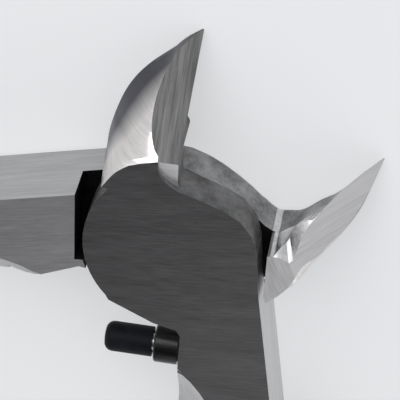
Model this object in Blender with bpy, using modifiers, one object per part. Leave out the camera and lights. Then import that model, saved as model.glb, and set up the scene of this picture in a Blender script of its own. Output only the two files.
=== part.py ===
"""Sprue nippers: two lap-jointed halves, a pivot screw, a closing stop, a return spring and two handles.

The tool lies flat: +Z is the pivot axis, Z = 0 is the back face, and the origin is the pivot axis there.
Each half is drawn as it lies when the tool is closed, with +Y towards the tips, and hangs on an empty on the
pivot axis that turns it to its place in the opened tool. Lengths are in millimetres until place() scales them.
"""

import math

import bmesh
import bpy
from mathutils import Vector

MM = 0.001
NAME = "sprue_nippers"

FRONT_TURN = math.radians(34.3)       # each half's turn from the closing line to fully open
BACK_TURN = math.radians(32.0)
THICK = 10.0                          # thickness of the head and the handles
LAP = THICK / 2                       # height of the lap plane
GAP = 0.3                             # clearance between touching pieces
DISC_R = 11.6                         # lap disc
RECESS_R = DISC_R + GAP               # recess that the other half's disc turns in

TIP_Y = 24.8                          # blade tip from the pivot
HEEL_Y = 12.2                         # where the cutting edge starts
TIP_Z = 0.2
SLOPE = (THICK - TIP_Z) / (TIP_Y - HEEL_Y)
ROOT_Y = 7.6                          # where the blade's root starts

FLARE = math.radians(11.0)            # a tang's lean from the closing line
ALONG = Vector((math.sin(FLARE), -math.cos(FLARE)))
OUTWARD = Vector((math.cos(FLARE), math.sin(FLARE)))
TANG_OUT = 8.8                        # the tang's outer edge, from the pivot, square to its length
TANG_END = 31.0                       # where the tang enters the handle
INNER_X = 0.9                         # the tangs' inner walls, from the closing line
TAIL_WIDTH = 5.0
TAIL_THICK = 4.0

SCREW_R = 3.0
SCREW_HEAD_R = 4.6
SCREW_HEAD_H = 1.5
SCREW_TOP = 8.2

STOP_Y = -17.9                        # the closing stop's axis lies along X, at the lap plane
STOP_REACH = 9.8
STOP_CAP_R = 1.9
STOP_RING_R = 2.45
STOP_RING_L = 3.5
STOP_POST_R = 1.1

GRIP_PATH = [(12.7, -32.5), (15.2, -42), (16.2, -52), (15.6, -66), (13.4, -80), (10.4, -94)]
GRIP_HALF = 6.0
GRIP_POINTS = 15
TAIL_POINTS = 11                      # how many of the grip's points the steel tail reaches
PAD_THICK = 1.7
PAD_INSET = 1.2
SPRING_Y = -50.0
SPRING_R = 3.4
SPRING_WIRE_R = 0.55
SPRING_TURNS = 8
SPRING_FREE = 31.0
SPRING_STEPS = 12                     # points to a turn
SEAT_FLANGE_R = 4.6
SEAT_FLANGE_H = 1.2
SEAT_POST_R = 2.3
SEAT_POST_H = 5.0

STEEL = ((0.36, 0.36, 0.37, 1), 0.35, 1.0)
BRIGHT = ((0.62, 0.60, 0.59, 1), 0.2, 1.0)
RUBBER = ((0.02, 0.022, 0.026, 1), 0.5, 0.0)
GRIP = ((0.05, 0.05, 0.055, 1), 0.5, 0.0)
PAD = ((0.11, 0.11, 0.12, 1), 0.7, 0.0)


def clear_scene():
    for obj in list(bpy.data.objects):
        bpy.data.objects.remove(obj, do_unlink=True)


def collection(name, hidden=False):
    made = bpy.data.collections.new(name)
    bpy.context.scene.collection.children.link(made)
    made.hide_render = hidden
    return made


def material(name, finish):
    colour, roughness, metallic = finish
    made = bpy.data.materials.new(name)
    made.use_nodes = True
    shader = made.node_tree.nodes["Principled BSDF"]
    shader.inputs["Base Color"].default_value = colour
    shader.inputs["Roughness"].default_value = roughness
    shader.inputs["Metallic"].default_value = metallic
    return made


def place(name, mesh_maker, parent, finish=None):
    """Makes an object from a bmesh drawn in millimetres. With no finish it is a helper that cuts or joins."""
    shape = bmesh.new()
    mesh_maker(shape)
    bmesh.ops.recalc_face_normals(shape, faces=shape.faces)
    bmesh.ops.scale(shape, vec=(MM, MM, MM), verts=shape.verts)
    mesh = bpy.data.meshes.new(name)
    shape.to_mesh(mesh)
    shape.free()
    obj = bpy.data.objects.new(name, mesh)
    obj.parent = parent
    if finish:
        PARTS.objects.link(obj)
        mesh.materials.append(material(name, finish))
    else:
        CUTTERS.objects.link(obj)
        obj.hide_render = True
        obj.display_type = "WIRE"
    return obj


def boolean(obj, other, operation):
    step = obj.modifiers.new(other.name, "BOOLEAN")
    step.operation = operation
    step.object = other
    step.solver = "EXACT"


def prism(outline, low, high):
    """A flat outline, extruded from one height to another."""
    def make(shape):
        corners = [shape.verts.new((x, y, low)) for x, y in outline]
        base = shape.faces.new(corners)
        grown = bmesh.ops.extrude_face_region(shape, geom=[base])
        raised = [v for v in grown["geom"] if isinstance(v, bmesh.types.BMVert)]
        bmesh.ops.translate(shape, vec=(0, 0, high - low), verts=raised)
    return make


def turned(profile, centre, axis="Z", steps=32):
    """A solid of revolution: (radius, height) pairs from its low end to its high end, along axis."""
    def make(shape):
        x, y, z = centre
        low = shape.verts.new((0, 0, profile[0][1]))
        high = shape.verts.new((0, 0, profile[-1][1]))
        rings = []
        for radius, height in profile:
            turn = [2 * math.pi * k / steps for k in range(steps)]
            rings.append([shape.verts.new((radius * math.cos(a), radius * math.sin(a), height)) for a in turn])
        for k in range(steps):
            n = (k + 1) % steps
            shape.faces.new((low, rings[0][n], rings[0][k]))
            shape.faces.new((high, rings[-1][k], rings[-1][n]))
            for a, b in zip(rings, rings[1:]):
                shape.faces.new((a[k], a[n], b[n], b[k]))
        for v in shape.verts:
            if axis == "-X":
                v.co = Vector((-v.co.z, v.co.y, v.co.x))
            v.co += Vector((x, y, z))
    return make


def arc(radius, start, end, count):
    """Points on a circle about the pivot, from one bearing to another, in degrees from +Y towards +X."""
    turns = [math.radians(start + (end - start) * k / (count - 1)) for k in range(count)]
    return [(radius * math.sin(a), radius * math.cos(a)) for a in turns]


def ramp(value, table):
    """Straight-line interpolation in a short table of (key, value) pairs in rising order."""
    for (x0, y0), (x1, y1) in zip(table, table[1:]):
        if value <= x1:
            return y0 + (y1 - y0) * max(0.0, (value - x0) / (x1 - x0))
    return table[-1][1]


def smooth_ramp(value, table):
    """As ramp, on a smooth curve through the table's points."""
    for k, ((x0, y0), (x1, y1)) in enumerate(zip(table, table[1:])):
        if value > x1 and k < len(table) - 2:
            continue
        before, after = table[max(k - 1, 0)], table[min(k + 2, len(table) - 1)]
        start = (y1 - before[1]) / (x1 - before[0])
        end = (after[1] - y0) / (after[0] - x0)
        t = min(1.0, max(0.0, (value - x0) / (x1 - x0)))
        span = x1 - x0
        return ((2 * t ** 3 - 3 * t * t + 1) * y0 + (t ** 3 - 2 * t * t + t) * span * start
                + (3 * t * t - 2 * t ** 3) * y1 + (t ** 3 - t * t) * span * end)
    return table[-1][1]


def on_tang(along, out):
    point = along * ALONG + out * OUTWARD
    return (point.x, point.y)


def mirrored(outline):
    return [(-x, y) for x, y in reversed(outline)]


# Each outline below is that of the half whose blade lies at -X and whose tang lies at +X.
THROAT = [(-1.3, 11.0), (-0.6, 8.45), (1.0, 8.0), (2.7, 7.4), (4.7, 6.65), (6.9, 5.45), (8.5, 3.4), (9.15, 1.3),
          (9.5, -1.2)]
BACK_THROAT = [(-3.6, 10.9), (-3.1, 10.1), (-2.1, 9.4), (-0.75, 8.8), (0.8, 8.1), (2.65, 7.1), (4.7, 5.8),
               (6.2, 4.6), (7.7, 3.0), (8.9, 0.9), (9.5, -1.2)]
SCOOP = [(INNER_X + 0.1, -17.7, 9.9), (1.6, -18.5, 9.6), (2.6, -19.4, 9.0), (3.9, -21.0, 7.8), (4.9, -22.5, 6.8),
         (5.9, -25.0, 5.6), (6.8, -28.0, 5.3), (7.9, -32.0, 5.3)]
CHIP = [(0.5, HEEL_Y), (-3.2, HEEL_Y), (-3.2, 11.3), (-2.9, 10.4), (-2.4, 9.7), (-1.6, 9.0), (-0.6, 8.45), (0.5, 8.1)]


def half_outline(throat):
    tang = [on_tang(6.0, TANG_OUT), on_tang(TANG_END, TANG_OUT - 0.6)]
    inner = [on_tang(TANG_END, 1.8), (INNER_X, -26.5), (INNER_X, -12.6), (INNER_X - 0.5, -11.85)]
    chord = [(-2.5, -11.15), (-8.1, -8.6)]
    rim_end = math.degrees(math.atan2(*throat[0])) - 4
    return throat + tang + inner + chord + arc(DISC_R, -133, rim_end, 28)


def recess_outline():
    """What a half leaves free for the other's disc: a circle, a chord at the blade's root and the tang's shoulder."""
    open_side = arc(RECESS_R, -15.5, 100, 12) + [(12.8, -2.5)]
    shoulder = [(12.8, -8.4), (2.0, -12.75)]
    return open_side + shoulder + arc(RECESS_R, 172, 308, 30) + [(-3.3, 10.0)]


def scoop(shape):
    """A slanting hollow along the front corner of a tang's inner wall: rows of (front edge X, Y, height at the wall)."""
    behind = INNER_X - 0.8
    rows = []
    for x, y, low in SCOOP:
        deeper = low - (THICK - low) * 0.8 / (x - INNER_X)
        ring = [(x, THICK), (x, THICK + 1), (behind, THICK + 1), (behind, min(deeper, THICK - 0.01))]
        rows.append([shape.verts.new((a, y, z)) for a, z in ring])
    skin(shape, rows)


def skin(shape, rows):
    """Closes a loft through rings of equal length."""
    for a, b in zip(rows, rows[1:]):
        for k in range(len(a)):
            n = (k + 1) % len(a)
            shape.faces.new((a[k], a[n], b[n], b[k]))
    shape.faces.new(rows[0])
    shape.faces.new(rows[-1][::-1])


def grip_line(count):
    """Points along the handle's middle line, read from a smooth curve through GRIP_PATH."""
    path = [Vector(p) for p in GRIP_PATH]
    path = [2 * path[0] - path[1]] + path + [2 * path[-1] - path[-2]]
    spans = len(path) - 3
    points = []
    for k in range(count):
        place_on = spans * k / (count - 1)
        i = min(int(place_on), spans - 1)
        t = place_on - i
        a, b, c, d = path[i:i + 4]
        points.append(0.5 * (2 * b + (c - a) * t + (2 * a - 5 * b + 4 * c - d) * t * t
                             + (3 * b - 3 * c + d - a) * t ** 3))
    return points


def strip(points, near, far):
    """The outline between two offsets from a line of points; positive offsets lie outward, towards +X."""
    left, right = [], []
    for k, p in enumerate(points):
        ahead = points[min(k + 1, len(points) - 1)] - points[max(k - 1, 0)]
        side = Vector((-ahead.y, ahead.x)).normalized()
        left.append(tuple(p + side * near[k]))
        right.append(tuple(p + side * far[k]))
    return left + right[::-1]


def even(value, points):
    return [value] * len(points)


ROOT_ROWS = 9
BLADE_ROWS = 24


def blade_rows():
    """Distances from the pivot of a jaw's cross-sections."""
    root = [ROOT_Y + (HEEL_Y - ROOT_Y) * k / ROOT_ROWS for k in range(ROOT_ROWS)]
    return root + [HEEL_Y + (TIP_Y - HEEL_Y) * k / BLADE_ROWS for k in range(BLADE_ROWS + 1)]


# Distances outward from the closing line, by distance from the pivot: the cutting edge, a torn lip below it, the
# inner wall's foot, the outer rim of the ground face, and the outer wall's foot. A low bulge is a rounder outer wall.
OUTER_WALL = [(7, 0.85), (10.0, 0.75), (HEEL_Y, 0.45), (13.5, 0.55), (16.0, 0.8), (TIP_Y, 0.9)]
FRONT_BLADE = {
    "edge": [(7, 0.85), (HEEL_Y, 0.85), (TIP_Y, 0.12)],
    "lip": [(7, 0.02), (TIP_Y, 0.02)],
    "hollow": [(7, 0.9), (HEEL_Y, 1.0), (14, 2.4), (17, 2.8), (20, 2.2), (TIP_Y, 0.15)],
    "ridge": [(ROOT_Y, 9.7), (8.3, 9.27), (9.9, 8.17), (10.85, 7.04), (11.5, 5.9), (HEEL_Y, 3.23), (13.3, 3.82),
              (14.5, 4.33), (16.2, 4.6), (18.4, 4.43), (20.4, 3.85), (22.1, 3.1), (23.5, 1.9), (TIP_Y, 0.25)],
    "foot": [(7, 10.73), (8.8, 10.61), (10.6, 10.27), (12.8, 9.68), (15.2, 8.82), (17.5, 7.56), (19.7, 5.76),
             (21.75, 3.57), (23.35, 1.9), (TIP_Y, 0.3)],
}
BACK_BLADE = {
    "edge": [(7, 2.5), (10.1, 3.3), (11.4, 3.8), (HEEL_Y, 4.8), (12.5, 5.1), (12.9, 4.5), (13.5, 3.7), (14.2, 2.8),
             (15.4, 1.8), (17.1, 1.0), (19.5, 0.1), (22.2, -0.4), (TIP_Y, -0.7)],
    "lip": [(7, 0.02), (10.8, 0.02), (12.5, 2.0), (13.5, 1.8), (14.5, 1.1), (16.0, 0.02), (TIP_Y, 0.02)],
    "hollow": [(7, -1.0), (8.8, 0.75), (10.1, 3.1), (11.5, 3.7), (13.1, 4.0), (15.7, 3.2), (17.9, 2.7), (21.5, 1.1),
               (TIP_Y, -0.6)],
    "ridge": [(ROOT_Y, 9.6), (8.7, 9.27), (9.8, 8.8), (11.2, 8.0), (12.5, 6.7), (13.5, 6.2), (15.2, 6.1),
              (17.0, 5.4), (19.0, 4.6), (20.9, 3.4), (22.7, 1.75), (TIP_Y, -0.5)],
    "foot": [(7, 10.73), (8.8, 10.7), (10.6, 10.4), (12.8, 9.9), (15.2, 9.0), (17.5, 7.7), (19.9, 5.6),
             (22.1, 3.0), (23.2, 1.6), (TIP_Y, -0.45)],
}
OUTER_STEPS = 7


def blade(shape_of, side):
    """A jaw, lofted through its cross-sections from the root to the tip. side is -1 at -X, 1 at +X."""
    def make(shape):
        rows = []
        for y in blade_rows():
            top = THICK - max(0.0, y - HEEL_Y) * SLOPE
            edge, lip = (ramp(y, shape_of[k]) for k in ("edge", "lip"))
            hollow, ridge, foot = (smooth_ramp(y, shape_of[k]) for k in ("hollow", "ridge", "foot"))
            bulge = smooth_ramp(y, OUTER_WALL)
            foot = max(foot, ridge + 0.05)
            lip_x, lip_z = edge - lip, top - min(1.2 * lip, 0.2 * top)
            ring = [(edge, top), (lip_x, lip_z), ((lip_x + 2 * hollow) / 3, lip_z * 0.5), (hollow, 0.0)]
            for k in range(OUTER_STEPS + 1):
                s = (1 - k / OUTER_STEPS) ** 1.5
                ring.append((ridge + (foot - ridge) * s ** bulge, top * (1 - s)))
            rows.append([shape.verts.new((side * x, y, z)) for x, z in ring])
        skin(shape, rows)
    return make


def half(name, parent, side, throat, shape_of, recess_low, recess_high):
    """One half: lap disc, blade, tang and the tail inside the handle. side is the blade's side."""
    outline = half_outline(throat)
    line = grip_line(GRIP_POINTS)[:TAIL_POINTS]
    tail = strip([Vector(on_tang(TANG_END - 4, 5.4))] + line, even(-TAIL_WIDTH / 2, [0] + line),
                 even(TAIL_WIDTH / 2, [0] + line))
    if side > 0:
        outline = mirrored(outline)
        tail = mirrored(tail)
    obj = place(name, prism(outline, 0, THICK), parent, STEEL)
    jaw = place(name + "_jaw", blade(shape_of, side), parent)
    boolean(obj, jaw, "UNION")
    low = LAP - TAIL_THICK / 2
    tail_tool = place(name + "_tail", prism(tail, low, low + TAIL_THICK), parent)
    boolean(obj, tail_tool, "UNION")
    free = recess_outline()
    recess = place(name + "_recess", prism(free if side < 0 else mirrored(free), recess_low, recess_high), parent)
    boolean(obj, recess, "DIFFERENCE")
    hollow = place(name + "_scoop", scoop, parent)
    if side > 0:
        for v in hollow.data.vertices:
            v.co.x = -v.co.x
        hollow.data.flip_normals()
    boolean(obj, hollow, "DIFFERENCE")
    return obj


def bore(obj, profile, centre, parent, axis="Z"):
    tool = place(obj.name + "_bore_%d" % len(obj.modifiers), turned(profile, centre, axis), parent)
    boolean(obj, tool, "DIFFERENCE")


def build_front_half(frame):
    obj = half("front_half", frame, -1, THROAT, FRONT_BLADE, -1, LAP + GAP / 2)
    chip = place("heel_chip", prism(CHIP, THICK - 1.0, THICK + 1), frame)
    for v in chip.data.vertices:
        if v.co.z < THICK * MM:
            v.co.z += 0.7 * MM * (v.co.y / MM - 8.1) / (HEEL_Y - 8.1)
    boolean(obj, chip, "DIFFERENCE")
    bore(obj, [(SCREW_R + GAP, 3), (SCREW_R + GAP, SCREW_TOP + GAP)], (0, 0, 0), frame)
    bore(obj, [(STOP_POST_R + GAP, -3.2), (STOP_POST_R + GAP, 2)], (INNER_X, STOP_Y, LAP), frame, "-X")


def build_back_half(frame):
    obj = half("back_half", frame, 1, BACK_THROAT, BACK_BLADE, LAP - GAP / 2, THICK + 1)
    bore(obj, [(SCREW_HEAD_R + GAP, -1), (SCREW_HEAD_R + GAP, SCREW_HEAD_H + GAP)], (0, 0, 0), frame)
    bore(obj, [(SCREW_R + GAP, 0.5), (SCREW_R + GAP, 6)], (0, 0, 0), frame)
    reach = STOP_REACH - INNER_X + 0.5
    pocket = [(0.0, STOP_Y - 4.6), (0.0, STOP_Y + 2.9), (-reach, STOP_Y + 2.6), (-reach, STOP_Y - 3.2)]
    tool = place("stop_pocket", prism(pocket, LAP - 2.8, LAP + 2.8), frame)
    boolean(obj, tool, "DIFFERENCE")


def build_pivot(frame):
    profile = [(SCREW_HEAD_R, 0), (SCREW_HEAD_R, SCREW_HEAD_H), (SCREW_R, SCREW_HEAD_H), (SCREW_R, SCREW_TOP)]
    screw = place("pivot_screw", turned(profile, (0, 0, 0)), frame, BRIGHT)
    for k, x in enumerate((-3.0, 3.0)):
        hole = place("spanner_hole_%d" % k, turned([(0.6, -1), (0.6, 0.9)], (x, 0, 0), steps=12), frame)
        boolean(screw, hole, "DIFFERENCE")


def build_stop(frame):
    start = (INNER_X, STOP_Y, LAP)
    post_end = STOP_REACH - 1.6
    place("stop_post", turned([(STOP_POST_R, -2.8), (STOP_POST_R, post_end)], start, "-X", 16), frame, BRIGHT)
    ring = place("stop_ring", turned([(STOP_RING_R - 0.2, GAP), (STOP_RING_R, GAP + 0.2),
                                      (STOP_RING_R, STOP_RING_L - 0.2), (STOP_RING_R - 0.2, STOP_RING_L)],
                                     start, "-X"), frame, BRIGHT)
    bore(ring, [(STOP_POST_R + GAP, -1), (STOP_POST_R + GAP, 4)], start, frame, "-X")
    low = STOP_RING_L + GAP
    dome = [(STOP_CAP_R - 1.0 + math.cos(a), STOP_REACH - 1.0 + math.sin(a))
            for a in (0.0, 0.4, 0.8, 1.2, math.pi / 2)]
    cap = place("stop_cap", turned([(STOP_CAP_R, low)] + dome, start, "-X"), frame, RUBBER)
    bore(cap, [(STOP_POST_R + GAP, 1), (STOP_POST_R + GAP, post_end + GAP)], start, frame, "-X")


def build_handle(which, frame, side):
    line = grip_line(GRIP_POINTS)
    swell = [0.0, 0.0, 0.1, 0.3, 0.5, 0.6, 0.6, 0.5, 0.4, 0.3, 0.2, 0.2, 0.1, 0.0, -1.2]
    near = [-GRIP_HALF + 0.8 for _ in swell]
    far = [GRIP_HALF - 0.8 + s for s in swell]
    near[-1] = -GRIP_HALF + 2.4
    body = strip(line, near, far)
    inner = line[:TAIL_POINTS]
    ahead = [2 * line[0] - line[1]] + inner + [inner[-1] + 0.1 * (line[TAIL_POINTS] - inner[-1])]
    slot = TAIL_WIDTH / 2 + GAP
    pocket = strip(ahead, even(-slot, ahead), even(slot, ahead))
    cover = slice(1, 13)
    pad_near = [f + GAP for f in far[cover]]
    pad_outline = strip(line[cover], pad_near, [f + PAD_THICK for f in pad_near])
    if side > 0:
        body, pocket, pad_outline = mirrored(body), mirrored(pocket), mirrored(pad_outline)
    grip = place(which + "_grip", prism(body, 0, THICK), frame, GRIP)
    round_rim(grip, 1.8)
    low = LAP - TAIL_THICK / 2 - GAP
    tool = place(which + "_grip_pocket", prism(pocket, low, THICK - low), frame)
    boolean(grip, tool, "DIFFERENCE")
    pad = place(which + "_grip_pad", prism(pad_outline, PAD_INSET, THICK - PAD_INSET), frame, PAD)
    round_rim(pad, 0.6)


def round_rim(obj, width):
    step = obj.modifiers.new("rounding", "BEVEL")
    step.width = width * MM
    step.segments = 3
    step.limit_method = "ANGLE"
    step.angle_limit = math.radians(50)


def spring_foot_x():
    """X of the innermost point of the handle's inner face that a spring seat covers, when the tool is closed."""
    covered = [p.x for p in grip_line(60) if abs(p.y - SPRING_Y) < SEAT_FLANGE_R + 1]
    return min(covered) - GRIP_HALF + 0.8


def build_spring_seats(front, back):
    foot = spring_foot_x()
    profile = [(SEAT_FLANGE_R, GAP), (SEAT_FLANGE_R, GAP + SEAT_FLANGE_H), (SEAT_POST_R, GAP + SEAT_FLANGE_H),
               (SEAT_POST_R, SEAT_POST_H - 0.6), (SEAT_POST_R - 0.6, SEAT_POST_H)]
    place("front_spring_seat", turned(profile, (foot, SPRING_Y, LAP), "-X"), front, BRIGHT)
    seat = place("back_spring_seat", turned(profile, (foot, SPRING_Y, LAP), "-X"), back, BRIGHT)
    for v in seat.data.vertices:
        v.co.x = -v.co.x
    seat.data.flip_normals()


def build_spring(frame):
    """The coil stands on the front seat and is free at its other end while the tool is open."""
    start = spring_foot_x() - GAP - SEAT_FLANGE_H - GAP - SPRING_WIRE_R
    length = SPRING_FREE - 2 * SPRING_WIRE_R
    count = SPRING_TURNS * SPRING_STEPS
    curve = bpy.data.curves.new("return_spring", "CURVE")
    curve.dimensions = "3D"
    spline = curve.splines.new("POLY")
    spline.points.add(count)
    for k, point in enumerate(spline.points):
        turn = 2 * math.pi * SPRING_TURNS * k / count
        rise = length * closed_ends(k / count)
        point.co = ((start - rise) * MM, (SPRING_Y + SPRING_R * math.cos(turn)) * MM,
                    (LAP + SPRING_R * math.sin(turn)) * MM, 1)
    curve.bevel_depth = SPRING_WIRE_R * MM
    curve.bevel_resolution = 1
    curve.use_fill_caps = True
    obj = bpy.data.objects.new("return_spring", curve)
    obj.parent = frame
    curve.materials.append(material("return_spring", BRIGHT))
    PARTS.objects.link(obj)


def closed_ends(share):
    """Share of the spring's rise at a share of its wire: the first and last turns lie close together."""
    pitch = 1.35 * SPRING_WIRE_R * 2 / SPRING_FREE
    dead = 1 / SPRING_TURNS
    if share < dead:
        return pitch * share / dead
    if share > 1 - dead:
        return 1 - pitch * (1 - share) / dead
    return pitch + (1 - 2 * pitch) * (share - dead) / (1 - 2 * dead)


def axis_empty(name, turn):
    empty = bpy.data.objects.new(name, None)
    empty.rotation_euler.z = turn
    PARTS.objects.link(empty)
    return empty


clear_scene()
PARTS = collection(NAME)
CUTTERS = collection(NAME + "_cutters", hidden=True)
front_frame = axis_empty("front_axis", FRONT_TURN)
back_frame = axis_empty("back_axis", -BACK_TURN)
build_front_half(front_frame)
build_back_half(back_frame)
build_pivot(front_frame)
build_stop(front_frame)
build_handle("front", front_frame, -1)
build_handle("back", back_frame, 1)
build_spring_seats(front_frame, back_frame)
build_spring(front_frame)
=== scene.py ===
"""Looks of the sprue nippers around the fixed frame: steel halves, closing stop, spring and handles."""

import math

import bmesh
import bpy
from mathutils import Matrix, Vector


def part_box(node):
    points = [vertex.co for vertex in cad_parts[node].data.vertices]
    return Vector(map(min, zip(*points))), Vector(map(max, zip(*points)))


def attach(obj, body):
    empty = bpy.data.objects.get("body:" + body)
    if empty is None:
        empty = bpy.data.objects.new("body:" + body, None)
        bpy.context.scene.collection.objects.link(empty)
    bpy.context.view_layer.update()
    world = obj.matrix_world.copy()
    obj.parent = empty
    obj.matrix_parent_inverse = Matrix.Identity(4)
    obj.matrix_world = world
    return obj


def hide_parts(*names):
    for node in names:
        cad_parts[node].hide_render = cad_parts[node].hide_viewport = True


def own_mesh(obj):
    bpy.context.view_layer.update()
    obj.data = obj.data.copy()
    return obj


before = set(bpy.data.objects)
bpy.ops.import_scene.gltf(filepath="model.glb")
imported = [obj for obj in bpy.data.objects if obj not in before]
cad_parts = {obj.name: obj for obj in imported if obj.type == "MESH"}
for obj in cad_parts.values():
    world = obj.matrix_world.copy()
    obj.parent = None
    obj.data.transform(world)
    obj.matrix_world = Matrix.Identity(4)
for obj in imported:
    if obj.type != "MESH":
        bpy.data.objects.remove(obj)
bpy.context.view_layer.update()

MM = 0.001
UP = Vector((0, 0, 1))
FRONT_TURN = math.radians(34.3)       # each half's turn from the closing line at rest
BACK_TURN = math.radians(-32.0)
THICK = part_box("front_half")[1].z
RECESS_REACH = 13.2 * MM              # the lap recess lies within this of the pivot
CHIP_REACH = 3.3 * MM                 # the heel's chip lies within this of the closing line
ROOT_Y = 7.6 * MM                     # where the blades' roots start
HEEL_Y = 12.2 * MM                    # where the ground faces start, along the closing line
SLOPE = 9.8 / 12.6                    # fall of the ground faces towards the tips
GROUND_FACING = Vector((0, SLOPE, 1)).normalized()
DISC_BRUSH = math.radians(40)         # world bearing of the brushing on the front half's face
FLARE = math.radians(11)              # a tang's lean from its closing line
EDGE = 0.12 * MM                      # width of the softened edges


SPRING_WIRE_R = 0.5 * MM
SPRING_TURNS = 8
SPRING_STEPS = 30                     # points to a turn


# Materials

def shader(name, roughness, metallic=0.0, **sockets):
    """A new node material: returns it with its tree, its Principled shader and its object coordinates."""
    made = bpy.data.materials.new(name)
    made.use_nodes = True
    tree = made.node_tree
    principled = tree.nodes["Principled BSDF"]
    principled.inputs["Roughness"].default_value = roughness
    principled.inputs["Metallic"].default_value = metallic
    for socket, value in sockets.items():
        principled.inputs[socket.replace("_", " ")].default_value = value
    where = tree.nodes.new("ShaderNodeTexCoord").outputs["Object"]
    return made, tree, principled, where


def mapped(tree, where, turn=(0, 0, 0), scale=(1, 1, 1)):
    """Coordinates turned, then stretched: the grain runs along the axis with the smallest scale."""
    turned = tree.nodes.new("ShaderNodeMapping")
    turned.inputs["Rotation"].default_value = turn
    tree.links.new(where, turned.inputs["Vector"])
    stretched = tree.nodes.new("ShaderNodeMapping")
    stretched.inputs["Scale"].default_value = scale
    tree.links.new(turned.outputs[0], stretched.inputs["Vector"])
    return stretched.outputs[0]


def noise(tree, where, scale=1.0, detail=4.0, roughness=0.6):
    made = tree.nodes.new("ShaderNodeTexNoise")
    made.inputs["Scale"].default_value = scale
    made.inputs["Detail"].default_value = detail
    made.inputs["Roughness"].default_value = roughness
    tree.links.new(where, made.inputs["Vector"])
    return made.outputs["Fac"]


def spread(tree, value, low, high, start=0.3, end=0.7):
    """Maps a texture's value between two numbers."""
    made = tree.nodes.new("ShaderNodeMapRange")
    for socket, number in zip(("From Min", "From Max", "To Min", "To Max"), (start, end, low, high)):
        made.inputs[socket].default_value = number
    tree.links.new(value, made.inputs["Value"])
    return made.outputs[0]


def tint(tree, value, *stops):
    """A colour ramp: (position, colour) stops."""
    made = tree.nodes.new("ShaderNodeValToRGB")
    ramp = made.color_ramp
    for k, (position, colour) in enumerate(stops):
        stop = ramp.elements[k] if k < 2 else ramp.elements.new(position)
        stop.position = position
        stop.color = (*colour, 1)
    tree.links.new(value, made.inputs["Fac"])
    return made.outputs["Color"]


def bump(tree, principled, height, distance, strength=1.0):
    made = tree.nodes.new("ShaderNodeBump")
    made.inputs["Strength"].default_value = strength
    made.inputs["Distance"].default_value = distance
    tree.links.new(height, made.inputs["Height"])
    before = principled.inputs["Normal"].links
    if before:
        tree.links.new(before[0].from_socket, made.inputs["Normal"])
    tree.links.new(made.outputs["Normal"], principled.inputs["Normal"])


def grey(value):
    return (value, value, value)


def brushed(name, dark, light, turn, along=320, across=5200, rising=None, rough=(0.3, 0.42),
            depth=0.006, painted_shade_keep=None):
    """Steel ground in one direction: long fine scratches, and broad faint bands.

    turn is the grain's bearing, and rising the grain's scale along Z. The last argument is the share of its
    colour that
    the lowest part of the face keeps: painted shade and painted reflection, darker and bluish towards the
    bottom, warm at the top.
    """
    made, tree, principled, where = shader(name, 0.35, 1.0)
    rising = rising or across
    fine = noise(tree, mapped(tree, where, (0, 0, -turn), (along, across, rising)), 1.0, 6.0, 0.7)
    bands = noise(tree, mapped(tree, where, (0, 0, -turn), (along / 4, across / 9, rising / 9)), 1.0, 3.0)
    both = tree.nodes.new("ShaderNodeMath")
    both.operation = "MULTIPLY_ADD"
    both.inputs[1].default_value = 0.7
    tree.links.new(fine, both.inputs[0])
    tree.links.new(spread(tree, bands, 0.07, 0.22), both.inputs[2])
    colour = tint(tree, both.outputs[0], (0.3, grey(dark)), (0.68, grey(light)))
    # Painted shade and painted reflection: the colour darkens and turns bluish towards the face's lowest
    # part, and warms at its top.
    if painted_shade_keep:
        height = tree.nodes.new("ShaderNodeSeparateXYZ")
        tree.links.new(where, height.inputs[0])
        level = spread(tree, height.outputs["Z"], 0.0, 1.0, 0.0, THICK)
        painted_shade_and_reflection = tint(tree, level, (0.25, (painted_shade_keep, painted_shade_keep, painted_shade_keep * 1.18)), (0.62, (1.0, 0.97, 0.94)))
        mixed = tree.nodes.new("ShaderNodeMix")
        mixed.data_type = "RGBA"
        mixed.blend_type = "MULTIPLY"
        mixed.inputs["Factor"].default_value = 1.0
        tree.links.new(colour, mixed.inputs["A"])
        tree.links.new(painted_shade_and_reflection, mixed.inputs["B"])
        colour = mixed.outputs["Result"]
    tree.links.new(colour, principled.inputs["Base Color"])
    tree.links.new(spread(tree, fine, *rough), principled.inputs["Roughness"])
    bump(tree, principled, fine, depth * MM)
    return made


def blasted(name, dark, light, rough=0.55, size=2600):
    """Rough forged steel: fine grains with darker scale between them."""
    made, tree, principled, where = shader(name, rough, 1.0)
    grains = noise(tree, mapped(tree, where), size, 5.0, 0.75)
    patches = noise(tree, mapped(tree, where), size / 9, 3.0)
    both = tree.nodes.new("ShaderNodeMath")
    both.operation = "MULTIPLY_ADD"
    both.inputs[1].default_value = 0.65
    tree.links.new(grains, both.inputs[0])
    tree.links.new(spread(tree, patches, 0.0, 0.35), both.inputs[2])
    colour = tint(tree, both.outputs[0], (0.3, grey(dark)), (0.7, grey(light)))
    tree.links.new(colour, principled.inputs["Base Color"])
    tree.links.new(spread(tree, grains, rough - 0.1, rough + 0.15), principled.inputs["Roughness"])
    bump(tree, principled, grains, 0.03 * MM)
    return made


def moulded(name, dark, light, roughness, grain, depth, **sockets):
    """Moulded plastic or rubber with a fine leathery texture."""
    made, tree, principled, where = shader(name, roughness, 0.0, **sockets)
    pores = tree.nodes.new("ShaderNodeTexVoronoi")
    pores.inputs["Scale"].default_value = grain
    tree.links.new(mapped(tree, where), pores.inputs["Vector"])
    cloud = noise(tree, mapped(tree, where), grain / 14, 5.0)
    tree.links.new(tint(tree, cloud, (0.35, dark), (0.65, light)), principled.inputs["Base Color"])
    tree.links.new(spread(tree, cloud, roughness - 0.06, roughness + 0.08), principled.inputs["Roughness"])
    bump(tree, principled, pores.outputs["Distance"], depth * MM)
    return made


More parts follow.
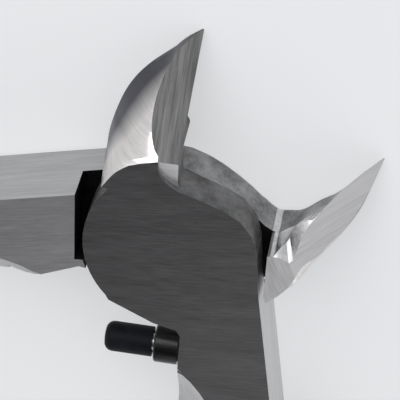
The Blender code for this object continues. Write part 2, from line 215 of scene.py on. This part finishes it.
def half_materials(which, turn, front):
    """The materials of one half's worked faces, in the order of the region names below."""
    tang = turn + (FLARE if front else -FLARE) - math.pi / 2
    face = DISC_BRUSH if front else tang
    straight = turn + math.pi / 2
    # Both halves are the same steel, but each gets its own base shades: painted shade and painted
    # reflection, the front's face, ground and throat darker and its sides lighter than the back's.
    ground, throat, side = ((0.02, 0.17), (0.06, 0.24), (0.46, 0.68))
    if not front:
        ground, throat, side = ((0.42, 0.6), (0.13, 0.44), (0.33, 0.55))
    return [
        brushed(which + "_face", *((0.14, 0.26) if front else (0.5, 0.76)), face),
        brushed(which + "_ground", *ground, straight, along=130, across=3300, rising=130, depth=0.01),
        # The blades' outer faces carry painted shade and painted reflection, darkest at their lowest part.
        brushed(which + "_outer", 0.6, 0.82, turn, along=200, across=4200, rising=200, painted_shade_keep=0.1),
        blasted(which + "_throat", *throat),
        brushed(which + "_side", *side, tang, along=160, rough=(0.36, 0.5)),
        blasted(which + "_torn", 0.4, 0.8, 0.3, 1300),
        brushed(which + "_chip", 0.7, 1.0, turn, rough=(0.4, 0.55)),
        # The lap recess's floor and walls are coloured near-black: painted shade for the dark gap between
        # the halves.
        blasted(which + "_recess", 0.008, 0.035, 0.6),
    ]


FACE, GROUND, OUTER, THROAT, SIDE, TORN, CHIP, RECESS = range(8)
SKIM = 0.1 * MM                       # how far below the front a face may lie and still be part of it
GROUND_SKIM = 0.2 * MM                # the same for a ground face, from its slanting plane
OUTER_FROM = 2.5 * MM                 # a blade's outer face lies further out than this
TORN_START = 10.5 * MM                # the torn notch of the back blade, from the pivot
TORN_END = 17 * MM


def region(normal, middle, turn, side):
    """Which worked face a face of a half belongs to. side is the blade's side of the closing line."""
    back = Matrix.Rotation(-turn, 3, "Z")
    n = back @ normal
    p = back @ middle
    out = side * p.x
    if p.y > ROOT_Y and out > -1 * MM:
        below = THICK - (p.y - HEEL_Y) * SLOPE - p.z
        if n.dot(GROUND_FACING) > 0.985 and abs(below) < GROUND_SKIM:
            return GROUND
        if n.z > 0.97:
            if side < 0 and out > CHIP_REACH:
                return OUTER
            return CHIP if side > 0 or p.z < THICK - SKIM else FACE
        if side * n.x > 0.1 and out > OUTER_FROM:
            return OUTER
        torn = side > 0 and TORN_START < p.y < TORN_END and p.z > THICK / 2
        return TORN if torn else THROAT
    if n.z > 0.85:
        return FACE if p.z > THICK - SKIM else RECESS
    across = Vector((p.x, p.y))
    if across.length < RECESS_REACH and n.x * p.x + n.y * p.y < 0:
        return RECESS
    if p.y > -1.3 * MM and n.y > 0.2:
        return THROAT
    return SIDE


# Meshes

def finished(node, body, materials, chooser=None, edge=EDGE, sharp=math.radians(32), segments=2):
    """A finished copy of a CAD node: one clean skin with softened edges and smooth curved faces."""
    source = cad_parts[node]
    shape = bmesh.new()
    shape.from_mesh(source.data)
    bmesh.ops.remove_doubles(shape, verts=shape.verts, dist=0.002 * MM)
    bmesh.ops.dissolve_limit(shape, angle_limit=math.radians(0.6), verts=shape.verts, edges=shape.edges)
    bmesh.ops.recalc_face_normals(shape, faces=shape.faces)
    if chooser:
        for face in shape.faces:
            face.material_index = chooser(face.normal, face.calc_center_median())
    for face in shape.faces:
        face.smooth = True
    creases = [e for e in shape.edges if len(e.link_faces) == 2 and e.calc_face_angle(0) > sharp]
    if edge:
        long_enough = [e for e in creases if e.calc_length() > 2.2 * edge]
        bmesh.ops.bevel(shape, geom=long_enough, offset=edge, segments=segments, affect="EDGES", profile=0.5,
                        clamp_overlap=True, material=-1)
    for e in shape.edges:
        e.smooth = not (len(e.link_faces) == 2 and e.calc_face_angle(0) > sharp)
    mesh = bpy.data.meshes.new(node + "_skin")
    shape.to_mesh(mesh)
    shape.free()
    obj = bpy.data.objects.new(node + "_skin", mesh)
    bpy.context.scene.collection.objects.link(obj)
    for made in materials:
        mesh.materials.append(made)
    weighted = obj.modifiers.new("weighted", "WEIGHTED_NORMAL")
    weighted.keep_sharp = True
    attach(obj, body)
    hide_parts(node)
    return obj


def build_halves():
    for which, turn, side in (("front", FRONT_TURN, -1), ("back", BACK_TURN, 1)):
        finished(which + "_half", which, half_materials(which, turn, which == "front"),
                 lambda normal, middle: region(normal, middle, turn, side))


def build_stop():
    bright = brushed("stop_bright", 0.6, 0.85, FRONT_TURN, rough=(0.2, 0.32))
    rubber = moulded("stop_rubber", (0.006, 0.007, 0.009), (0.012, 0.013, 0.016), 0.5, 5200, 0.006,
                     Specular_IOR_Level=0.1)
    # The ring is one steel part in two colours by facing: faces not facing +x are near-black, painted shade
    # and painted dark reflection, while the rim facing +x keeps the bright steel.
    dark = brushed("stop_ring_painted_shade", 0.02, 0.06, FRONT_TURN, rough=(0.2, 0.32))
    finished("stop_ring", "front", [dark, bright],
             lambda normal, middle: int(normal.x > 0.7), edge=0.08 * MM)
    finished("stop_post", "front", [bright], edge=0.08 * MM)
    finished("stop_cap", "front", [rubber], edge=0)
    finished("pivot_screw", "front", [bright])
    for which in ("front", "back"):
        finished(which + "_spring_seat", which, [bright], edge=0.1 * MM)


def build_handles():
    hard = moulded("grip_plastic", (0.016, 0.017, 0.019), (0.03, 0.031, 0.034), 0.45, 2400, 0.04)
    soft = moulded("grip_soft", (0.05, 0.052, 0.056), (0.085, 0.088, 0.094), 0.68, 1500, 0.06)
    for which in ("front", "back"):
        finished(which + "_grip", which, [hard], edge=0)
        finished(which + "_grip_pad", which, [soft], edge=0)


def build_spring():
    """A round-wire coil in place of the CAD one."""
    wire = brushed("spring_wire", 0.6, 0.85, FRONT_TURN, rough=(0.18, 0.3))
    source = [v.co.copy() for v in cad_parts["return_spring"].data.vertices]
    axis = Matrix.Rotation(FRONT_TURN, 3, "Z") @ Vector((-1, 0, 0))
    reach = [p.dot(axis) for p in source]
    middle = sum(source, Vector()) / len(source)
    radius = max((p - middle - axis * (p - middle).dot(axis)).length for p in source)
    thick = SPRING_WIRE_R
    start, end = min(reach) + thick, max(reach) - thick
    turns, steps = SPRING_TURNS, SPRING_STEPS
    dead = 1 / turns
    side = UP.cross(axis).normalized()
    foot = middle - axis * middle.dot(axis)
    curve = bpy.data.curves.new("return_spring_wire", "CURVE")
    curve.dimensions = "3D"
    line = curve.splines.new("POLY")
    line.points.add(turns * steps)
    pitch = 1.15 * 2 * thick / (end - start)
    for k, point in enumerate(line.points):
        share = k / (turns * steps)
        rise = pitch + (1 - 2 * pitch) * (share - dead) / (1 - 2 * dead)
        if share < dead:
            rise = pitch * share / dead
        if share > 1 - dead:
            rise = 1 - pitch * (1 - share) / dead
        angle = 2 * math.pi * turns * share
        ring = side * math.cos(angle) + UP * math.sin(angle)
        point.co = (*(foot + axis * (start + (end - start) * rise) + ring * (radius - thick)), 1)
    curve.bevel_depth = thick
    curve.bevel_resolution = 3
    curve.use_fill_caps = True
    rough = bpy.data.objects.new("spring_draft", curve)
    bpy.context.scene.collection.objects.link(rough)
    graph = bpy.context.evaluated_depsgraph_get()
    mesh = bpy.data.meshes.new_from_object(rough.evaluated_get(graph))
    bpy.data.objects.remove(rough)
    shape = bmesh.new()
    shape.from_mesh(mesh)
    bmesh.ops.remove_doubles(shape, verts=shape.verts, dist=0.001 * MM)
    for face in shape.faces:
        face.smooth = len(face.verts) == 4
    shape.to_mesh(mesh)
    shape.free()
    mesh.materials.clear()
    mesh.materials.append(wire)
    obj = bpy.data.objects.new("return_spring_wire", mesh)
    bpy.context.scene.collection.objects.link(obj)
    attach(obj, "front")
    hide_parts("return_spring")
    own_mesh(obj)


# Surroundings

FLOOR_GLOW = 1.03                     # the floor's own light, which keeps it pale with hardly any shadow
FLOOR_HALF = 3.0
FLOOR_DROP = 0.3 * MM
DARK_TOWARDS = Vector((0.12, -0.42, 0.9)).normalized()
LAMPS = (("key", (-0.5, 0.35, 0.35), 0.7, 2.2), ("fill", (0.6, -0.35, 0.3), 0.8, 1.5))
BACK = Vector((-0.250998, 0.515995, 0.818993))     # from the object towards the camera
RIGHT = Vector((0.777818, 0.611138, -0.146661))
LOOK = Vector((-1.56027, 5.19139, 6.25106)) * MM
DISTANCE = 0.28
LENS = 212.94


def build_camera():
    data = bpy.data.cameras.new("camera")
    data.lens = LENS
    data.sensor_width = 36
    data.clip_start = 0.01
    camera = bpy.data.objects.new("camera", data)
    upward = BACK.cross(RIGHT).normalized()
    placed = Matrix((RIGHT, upward, BACK)).transposed().to_4x4()
    placed.translation = LOOK + BACK * DISTANCE
    camera.matrix_world = placed
    bpy.context.scene.collection.objects.link(camera)
    bpy.context.scene.camera = camera


def build_floor():
    mesh = bpy.data.meshes.new("floor")
    corners = [(-1, -1), (1, -1), (1, 1), (-1, 1)]
    mesh.from_pydata([(x * FLOOR_HALF, y * FLOOR_HALF, -FLOOR_DROP) for x, y in corners], [], [(0, 1, 2, 3)])
    floor = bpy.data.objects.new("floor", mesh)
    bpy.context.scene.collection.objects.link(floor)
    made, tree, principled, where = shader("floor", 0.9)
    paper = noise(tree, mapped(tree, where), 9.0, 2.0)
    colour = tint(tree, paper, (0.3, (0.445, 0.45, 0.458)), (0.7, (0.455, 0.46, 0.465)))
    tree.links.new(colour, principled.inputs["Base Color"])
    tree.links.new(colour, principled.inputs["Emission Color"])
    principled.inputs["Emission Strength"].default_value = FLOOR_GLOW
    mesh.materials.append(made)


def build_light():
    """A pale surround that darkens overhead, so that flat faces read darker than the walls."""
    world = bpy.data.worlds.new("studio")
    bpy.context.scene.world = world
    world.use_nodes = True
    tree = world.node_tree
    background = tree.nodes["Background"]
    where = tree.nodes.new("ShaderNodeTexCoord").outputs["Generated"]
    facing = tree.nodes.new("ShaderNodeVectorMath")
    facing.operation = "DOT_PRODUCT"
    facing.inputs[1].default_value = DARK_TOWARDS
    tree.links.new(where, facing.inputs[0])
    colour = tint(tree, facing.outputs["Value"], (0.45, (1.0, 1.0, 1.03)), (0.8, (0.2, 0.2, 0.215)),
                  (0.97, (0.13, 0.13, 0.14)))
    tree.links.new(colour, background.inputs["Color"])
    background.inputs["Strength"].default_value = 0.9
    for name, at, size, power in LAMPS:
        data = bpy.data.lights.new(name, "AREA")
        data.size = size
        data.energy = power
        lamp = bpy.data.objects.new(name, data)
        lamp.location = at
        lamp.rotation_euler = Vector(at).to_track_quat("Z", "Y").to_euler()
        bpy.context.scene.collection.objects.link(lamp)


build_halves()
build_stop()
build_handles()
build_spring()
build_camera()
build_floor()
build_light()
bpy.context.scene.view_settings.view_transform = "Standard"
bpy.context.view_layer.update()
